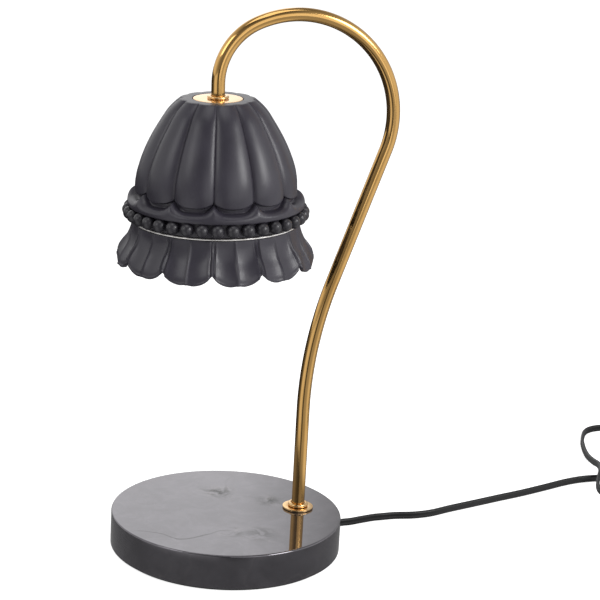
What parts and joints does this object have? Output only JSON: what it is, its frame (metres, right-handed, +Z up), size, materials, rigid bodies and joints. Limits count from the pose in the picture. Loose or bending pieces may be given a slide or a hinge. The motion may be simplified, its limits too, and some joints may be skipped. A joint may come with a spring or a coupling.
{
  "type": "candle warmer lamp",
  "caption": "Candle warmer lamp: a flower shaped black shade with a mirror bulb hangs from a bent brass tube over a round stone base, with a flat cord, an inline dimmer and a plug.",
  "frame": {"origin": "centre of the base's underside, on the surface that the lamp stands on", "axes": "+Z up, +X from the middle of the base towards the foot of the neck, so the neck bends in the XZ plane"},
  "size_m": [0.4533, 0.2435, 0.3312],
  "materials": {
    "stone": "polished dark stone with fine pale veins",
    "foam": "matte foam pad",
    "satin_brass": "brushed satin",
    "bright_brass": "polished",
    "steel": "zinc plated",
    "shade_black": "satin black lacquer",
    "bright_seam": "bright",
    "ceramic": "unglazed ceramic",
    "mirror": "faceted mirror",
    "glass": "clear",
    "cord": "satin black flat twin cord",
    "black_plastic": "moulded, satin",
    "board": "circuit board"
  },
  "bodies": {
    "lamp": {"base_stone": "stone", "base_pad": "foam", "pole_flange": "bright_brass", "pole_collar": "bright_brass", "pole_washer": "steel", "pole_nut": "steel", "terminal_block": "ceramic", "terminal_screw_1": "steel", "terminal_screw_2": "steel", "cord_bushing": "black_plastic", "cord_inner": "cord", "gooseneck_tube": "satin_brass", "lamp_lead": "cord", "neck_collar": "bright_brass", "shade_cap": "bright_brass", "shade_crown": "shade_black", "seam_ring": "bright_seam", "shade_skirt": "shade_black", "neck_nut": "steel", "holder_bracket": "steel", "holder_screw_1": "steel", "holder_screw_2": "steel", "lampholder": "ceramic", "cord_lead": "cord", "dimmer_bottom": "black_plastic", "dimmer_top": "black_plastic", "dimmer_pot": "steel", "dimmer_board": "board", "dimmer_screw_1": "steel", "dimmer_screw_2": "steel", "dimmer_relief_in": "black_plastic", "dimmer_relief_out": "black_plastic", "cord_hank": "cord", "cord_tie": "black_plastic", "plug_body": "black_plastic", "plug_blade_1": "steel", "plug_blade_2": "steel"},
    "bulb": {"bulb_base": "ceramic", "bulb_pin_1": "steel", "bulb_pin_2": "steel", "bulb_reflector": "mirror", "bulb_lens": "glass", "bulb_capsule": "glass"},
    "dial": {"dimmer_dial": "black_plastic"}
  },
  "joints": [
    {"name": "bulb_twist", "type": "hinge", "parent": "lamp", "child": "bulb", "pos_m": [-0.01616, 0, 0.27847], "axis": [-0.0251, 0, 0.9997], "range_deg": [-22, 0]},
    {"name": "dial_turn", "type": "hinge", "parent": "lamp", "child": "dial", "pos_m": [0.324, 0.0275, 0.017], "axis": [0, 0, -1], "range_deg": [0, 270]}
  ]
}
